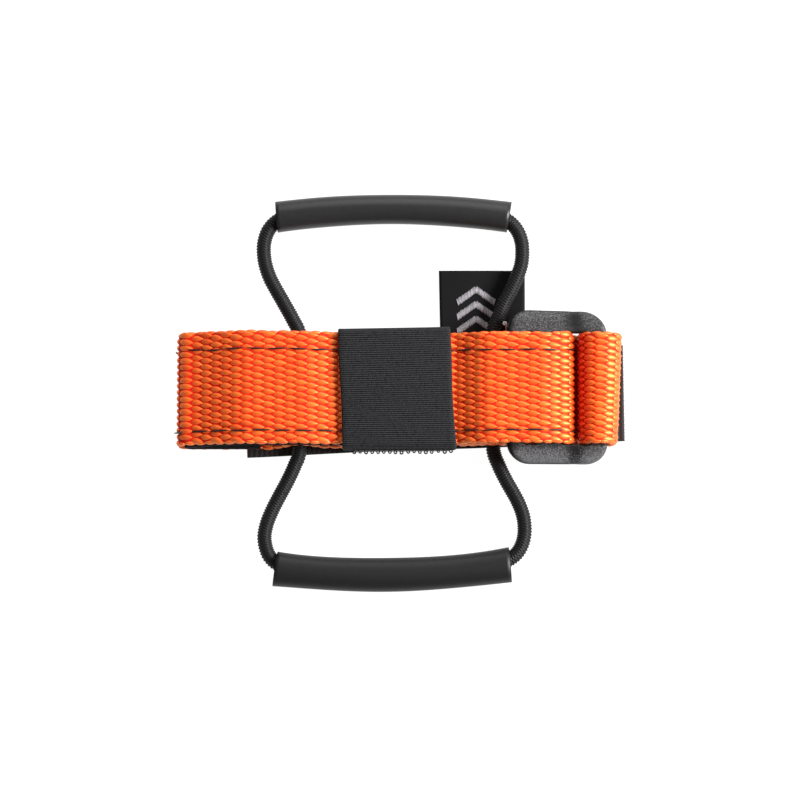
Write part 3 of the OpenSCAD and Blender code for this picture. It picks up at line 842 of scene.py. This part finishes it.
def ring_section(half_l, low, high, corner, step):
    """Points [y, z] round a rounded rectangle at even steps, with their outward normals."""
    points = []
    for cy, cz, start in ((half_l - corner, high - corner, 0), (-half_l + corner, high - corner, 90),
                          (-half_l + corner, low + corner, 180), (half_l - corner, low + corner, 270)):
        for a in np.radians(np.linspace(start, start + 90, 10)):
            points.append((cy + corner * math.cos(a), cz + corner * math.sin(a)))
    points = np.array(points + points[:1])
    along = lengths_along(points)
    s = np.linspace(0, along[-1], int(along[-1] / step), endpoint=False)
    even = np.column_stack([np.interp(s, along, points[:, i]) for i in (0, 1)])
    tangent = np.roll(even, -1, 0) - np.roll(even, 1, 0)
    tangent /= np.linalg.norm(tangent, axis=1)[:, None]
    return s, even, np.column_stack([tangent[:, 1], -tangent[:, 0]])


def keeper_points(points):
    """Points round the keeper's middle (mm), turned and leaned with it, at their place (metres)."""
    c, sn = math.cos(keeper_turn), math.sin(keeper_turn)
    x, y, z = points.T
    low_side = np.clip(-y / 13, 0, 1)
    x = x - 0.014 * y + 0.25 * low_side * np.clip(x / 12.8, 0, 1)
    pulled_in = (0.55 + 0.018 * np.clip(-x, -13, 13)) * low_side
    y = y + pulled_in - (0.15 + 0.009 * x) * np.clip(y / 13, 0, 1)
    return np.column_stack([keeper_place[0] + c * x - sn * y, keeper_place[1] + sn * x + c * y, z]) * MM


s, section, normal = ring_section(keeper_half_l, keeper_low, keeper_high, keeper_corner, 0.1)
inside_edges = np.linspace(-keeper_half_w + 0.35, keeper_half_w - 0.35, rib_count)
across = np.concatenate([[-keeper_half_w], inside_edges, [keeper_half_w]])
rib_wave = 0.5 - 0.5 * np.cos(math.tau * s / rib_pitch)
edge_lift = np.clip(1 - (keeper_half_w - np.abs(across)) / 0.9, 0, 1)
crown = 0.14 * (1 - (section[:, 0] / keeper_half_l) ** 2) * (section[:, 1] > keeper_high - 0.4)
outer = np.zeros((len(across), len(s), 3))
height = -0.14 + 0.18 * rib_wave[None, :] + 0.05 * edge_lift[:, None] + crown[None, :]
height[[0, -1]] -= 0.18
outer[:, :, 0] = across[:, None] + 0.1 * np.sin(s / 4)[None, :] * np.sign(across)[:, None]
outer[:, :, 1] = section[:, 0] + normal[:, 0] * height
outer[:, :, 2] = section[:, 1] + normal[:, 1] * height
inner = outer.copy()
inner[:, :, 1] = section[:, 0] - normal[:, 0] * keeper_inset
inner[:, :, 2] = section[:, 1] - normal[:, 1] * keeper_inset
shell = np.concatenate([outer, inner[::-1]])
n, m = len(shell), len(s)
across_shell = np.concatenate([across, across[::-1]])[:, None]
uv = np.stack([np.tile(s, (n, 1)), np.tile(across_shell, (1, m))], axis=2).reshape(-1, 2) / 10
keeper = mesh_piece("elastic_keeper", keeper_points(shell.reshape(-1, 3)), skin(n, m, joined=True),
                    elastic, uv)
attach(keeper, "keeper")
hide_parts("keeper_band")

# The keeper's hook patch: a strip of the hook tape sewn to its lower side, and the one row of hooks
# that stands out below it.
patch_profile = [(-10.5, 3.4), (11.3, 3.4), (11.3, 7.2), (-10.5, 7.2)]
patch_points = [(x, y, z) for y in (-keeper_half_l - 0.3, -keeper_half_l + 0.1) for x, z in patch_profile]
patch_faces = [(0, 1, 2, 3), (4, 7, 6, 5), (0, 4, 5, 1), (1, 5, 6, 2), (2, 6, 7, 3), (3, 7, 4, 0)]
patch = mesh_piece("keeper_hook_tape", keeper_points(np.array(patch_points)), patch_faces, backing,
                   smooth=False)
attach(patch, "keeper")
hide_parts("keeper_hook_patch")

# Black nylon monofilament: drawn smooth, cut and curled into hooks that stay open on one side.
monofilament, _, _ = new_finish("hook_monofilament", Base_Color=linear("#1B1A1C"), Roughness=0.45)
eye_pitch = 1.37
eye_r = 0.3
arc = np.linspace(0, 1.5 * math.pi, 9)
eye_line = [(0, 0, 0)] + [(eye_r - eye_r * math.cos(a), 0, -0.38 - eye_r * math.sin(a)) for a in arc]
eye = bent_wire("eye", np.array(eye_line) * MM, 0.16 * MM, 5, monofilament)
eye_x = np.arange(-10.6, 11.7, eye_pitch)
n = len(eye_x)
eye_y = np.full(n, -keeper_half_l - 0.15)
eye_at = keeper_points(np.column_stack([eye_x, eye_y, 5.2 + rng.normal(0, 0.2, n)]))
turns = np.column_stack([rng.normal(0, 0.15, n) for _ in range(3)])
turns[:, 0] -= math.pi / 2
sizes = np.ones((n, 3)) * rng.uniform(0.9, 1.2, (n, 1))
eyes = copied("keeper_hooks", eye, eye_at, turns, sizes, rng.random(n), monofilament)
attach(eyes, "keeper")
drop(eye)

# ---- Pull sleeves -------------------------------------------------------------------------
# Two cut lengths of black PVC tube over the cord: a bowed oval with a thin wall, the lower one
# pressed flatter. The ends are cut by hand, so they stand a little askew.
sleeve_length = 54.1
sleeve_middle_x = -1.65
sleeve_wall = 0.9
sleeve_bow = 200.0


def pvc_tube(name, dark, light, roughness):
    """Matt black PVC, extruded, with a faint film in clouds of 1.5 mm, between the colours given: made
    lighter for the upper tube as painted light, and darker for the lower as painted shade.
    """
    finish, tree, shader = new_finish(name, Roughness=roughness, Specular_IOR_Level=0.35)
    where = add(tree, "ShaderNodeTexCoord")
    film = add(tree, "ShaderNodeTexNoise", {"Vector": where.outputs["Object"], "Scale": 700.0, "Detail": 4.0})
    patterned(tree, shader, film.outputs["Fac"], dark, light, film.outputs["Fac"], 0.12, 0.1 * MM)
    return finish


def sleeve(name, y_centre, z_centre, width, height, turn, skew, body, pvc):
    """A bowed tube with open ends, as one closed wall: out along its skin and back inside it."""
    sides, n = 48, 60
    side = math.copysign(1, y_centre)
    angle = np.linspace(0, math.tau, sides, endpoint=False)
    rings = []
    for inset, order in ((0.0, 1), (sleeve_wall, -1)):
        for t in np.linspace(-1, 1, n)[::order]:
            swell = 1 + 0.015 * math.sin(5 * t + y_centre) + 0.045 * abs(t) ** 6
            v = (width / 2 * swell - inset) * np.cos(angle)
            w = (height / 2 - inset) * np.sin(angle)
            w = np.sign(w) * np.abs(w) ** 0.93 * (height / 2 - inset) ** 0.07
            a = (t * sleeve_length / 2 + skew[0 if t < 0 else 1] * v / width * abs(t) ** 8) / sleeve_bow
            x = (sleeve_bow + v) * np.sin(a)
            y = (sleeve_bow + v) * np.cos(a) - sleeve_bow
            rings.append(np.column_stack([x, side * y, w]))
    x, y, z = np.vstack(rings).T
    c, sn = math.cos(turn), math.sin(turn)
    placed = np.column_stack([sleeve_middle_x + c * x - sn * y, y_centre + sn * x + c * y, z_centre + z]) * MM
    made = mesh_piece(name, placed, skin(2 * n, sides, joined=True), pvc)
    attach(made, body)
    return made


# Two copies of one PVC: lighter colours on the upper tube as painted light, darker ones on the lower tube as
# painted shade.
painted_light_pvc = pvc_tube("matt_pvc_tube_painted_light", "#1C1B1C", "#242323", 0.38)
painted_shade_pvc = pvc_tube("matt_pvc_tube_painted_shade", "#100F10", "#171616", 0.48)
upper_tube = sleeve("upper_sleeve_tube", 42.5, 3.5, 6.9, 6.9, 0.0, (0.35, 0.2), "upper_pull", painted_light_pvc)
lower_tube = sleeve("lower_sleeve_tube", -42.1, 3.3, 7.7, 6.5, math.radians(1), (-0.2, -0.5), "lower_pull",
                    painted_shade_pvc)
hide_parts("upper_pull_sleeve")
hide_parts("lower_pull_sleeve")

# The crimp that closes the ring of cord, hidden in the lower sleeve: drawn aluminium tube, bright and
# plain. It keeps the CAD's shape.
crimp, _, _ = new_finish("drawn_aluminium", Base_Color=linear("#B9BBBD"), Metallic=1.0, Roughness=0.35)
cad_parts["cord_ferrule"].material_slots[0].material = crimp

# ---- Label --------------------------------------------------------------------------------
# A folded black damask label, sewn in under the webbing's upper edge. It lies on the surface
# beside the panel, and carries three plain chevrons in grey satin stitch.
label_x = (9.4, 28.95)
label_y = (8.5, 28.2)
label_half_t = 0.26
label_gap = 0.03

# Damask: dense matt black polyester with a fine twill. The twill is drawn at half a millimetre,
# coarser than the real one, so that it shows.
damask, tree, shader = new_finish("damask_weave", Roughness=0.75, Specular_IOR_Level=0.15)
where = add(tree, "ShaderNodeTexCoord")
twill = add(tree, "ShaderNodeTexWave", {"Vector": where.outputs["Object"], "Scale": 900.0, "Distortion": 0.5},
            bands_direction="DIAGONAL")
patterned(tree, shader, twill.outputs["Fac"], "#060506", "#111012", twill.outputs["Fac"], 0.4, 0.06 * MM)


def label_height(x, y):
    """Height in mm of the label's upper face: down from the panel, flat, and a little up at its free edge."""
    down = np.clip((y - 9.6) / 2.4, 0, 1)
    free = np.clip((y - 14) / 14, 0, 1)
    return 1.95 - 0.75 * down * down * (3 - 2 * down) + 0.55 * free**2 + 0.12 * np.sin((x - 9) / 4) * free


x_lines = np.linspace(*label_x, 28)
y_lines = np.linspace(*label_y, 34)
fold_turn = np.linspace(math.pi / 2, -math.pi / 2, 7)[1:-1]
section = [(y, label_half_t) for y in y_lines]
section += [(label_y[1] + label_half_t * math.cos(a), label_half_t * math.sin(a)) for a in fold_turn]
section += [(y, -label_half_t) for y in y_lines[::-1]]
section += [(y, -label_gap) for y in y_lines[:-1]] + [(y, label_gap) for y in y_lines[-2::-1]]
section = np.array(section)
n, m = len(x_lines), len(section)
points = np.zeros((n, m, 3))
lean = 0.02 * (section[:, 0] - label_y[0])
points[:, :, 0] = x_lines[:, None] - lean * (x_lines[:, None] < 19) * (1 - (x_lines[:, None] - 9.3) / 9.7)
points[:, :, 1] = section[:, 0]
upper_face = label_height(points[:, :, 0], np.minimum(points[:, :, 1], label_y[1]))
points[:, :, 2] = upper_face - label_half_t + section[:, 1]
label = mesh_piece("woven_label_cloth", points.reshape(-1, 3) * MM, capped_skin(n, m), damask)
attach(label, "strap")
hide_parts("label")

# Rayon embroidery thread: grey, with the silky gloss of satin stitch.
chevron_middle = (17.6, 17.2)
chevron_pitch = 3.4
chevron_arm = 5.2
chevron_slope = math.radians(35)
satin_lean = math.radians(10)
rayon, tree, shader = new_finish("rayon_thread", Roughness=0.4, Sheen_Weight=0.3)
tone = add(tree, "ShaderNodeAttribute", attribute_name="tone")
colour = add(tree, "ShaderNodeMix", {0: tone.outputs["Fac"], 6: linear("#6C686C"), 7: linear("#98949A")},
             data_type="RGBA")
tree.links.new(colour.outputs[2], shader.inputs["Base Color"])
satin = lens("satin", 1.7 * MM, 0.34 * MM, 0.3 * MM, 5, 6, rayon)
stitches_at, stitches_turn = [], []
for i in range(3):
    for side in (-1, 1):
        for t in np.arange(0.0, chevron_arm, 0.24):
            x = chevron_middle[0] + side * (0.12 + t * math.cos(chevron_slope))
            y = chevron_middle[1] + chevron_pitch * i - t * math.sin(chevron_slope)
            stitches_at.append((x, y + rng.normal(0, 0.04), float(label_height(x, y)) + 0.04))
            stitches_turn.append((0, 0, math.pi / 2 - side * satin_lean + rng.normal(0, 0.06)))
n = len(stitches_at)
chevrons = copied("label_chevrons", satin, np.array(stitches_at) * MM, stitches_turn, np.ones((n, 3)),
                  rng.random(n), rayon)
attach(chevrons, "strap")
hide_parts("label_embroidery")
drop(satin)

# White spun thread: the label's tacking stitches, and one loose loop beside the label's root.
cotton, _, _ = new_finish("white_spun_thread", Base_Color=linear("#DEDCD8"), Roughness=0.7)
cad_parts["label_stitching"].material_slots[0].material = cotton
arc = np.linspace(-0.3, 1.7 * math.pi, 14)
loop_line = np.column_stack([24.15 + 0.34 * np.cos(arc), 15.8 + 0.3 * np.sin(arc), 4.2 + 0.04 * arc])
loop_line = np.vstack([[(24.3, 14.2, 1.7), (24.5, 14.8, 3.2)], loop_line])
thread_loop = bent_wire("loose_thread_loop", loop_line * MM, 0.22 * MM, 6, cotton)
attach(thread_loop, "strap")

# ---- Table, light and room ----------------------------------------------------------------
# A plain white table that glows just enough to stay white, a large soft key light low at the
# right, a smaller one behind the upper pull, and a dim even room.
floor, _, _ = new_finish("white_table", Base_Color=(0.15, 0.15, 0.15, 1.0), Roughness=0.9,
                         Specular_IOR_Level=0.0, Emission_Color=(1.0, 1.0, 1.0, 1.0), Emission_Strength=0.97)
table_half, table_z = 0.6, -0.0001
corners = [(x * table_half, y * table_half, table_z) for x, y in ((-1, -1), (1, -1), (1, 1), (-1, 1))]
table = mesh_piece("table", corners, [(0, 1, 2, 3)], floor)
world = bpy.data.worlds.new("soft_room")
bpy.context.scene.world = world
world.use_nodes = True
world.node_tree.nodes["Background"].inputs["Color"].default_value = (1.0, 1.0, 1.0, 1.0)
world.node_tree.nodes["Background"].inputs["Strength"].default_value = 0.3


def softbox(name, place, size, power):
    """A square soft light that faces the strap."""
    light = bpy.data.lights.new(name, "AREA")
    light.shape = "SQUARE"
    light.size = size
    light.energy = power
    made = bpy.data.objects.new(name, light)
    made.location = place
    made.rotation_euler = Vector(place).to_track_quat("Z", "Y").to_euler()
    bpy.context.scene.collection.objects.link(made)


softbox("key_light", (0.59, 0.06, 0.42), 0.3, 12.0)
softbox("back_light", (0.03, 0.3, 0.17), 0.25, 0.55)
bpy.context.scene.view_settings.view_transform = "Standard"
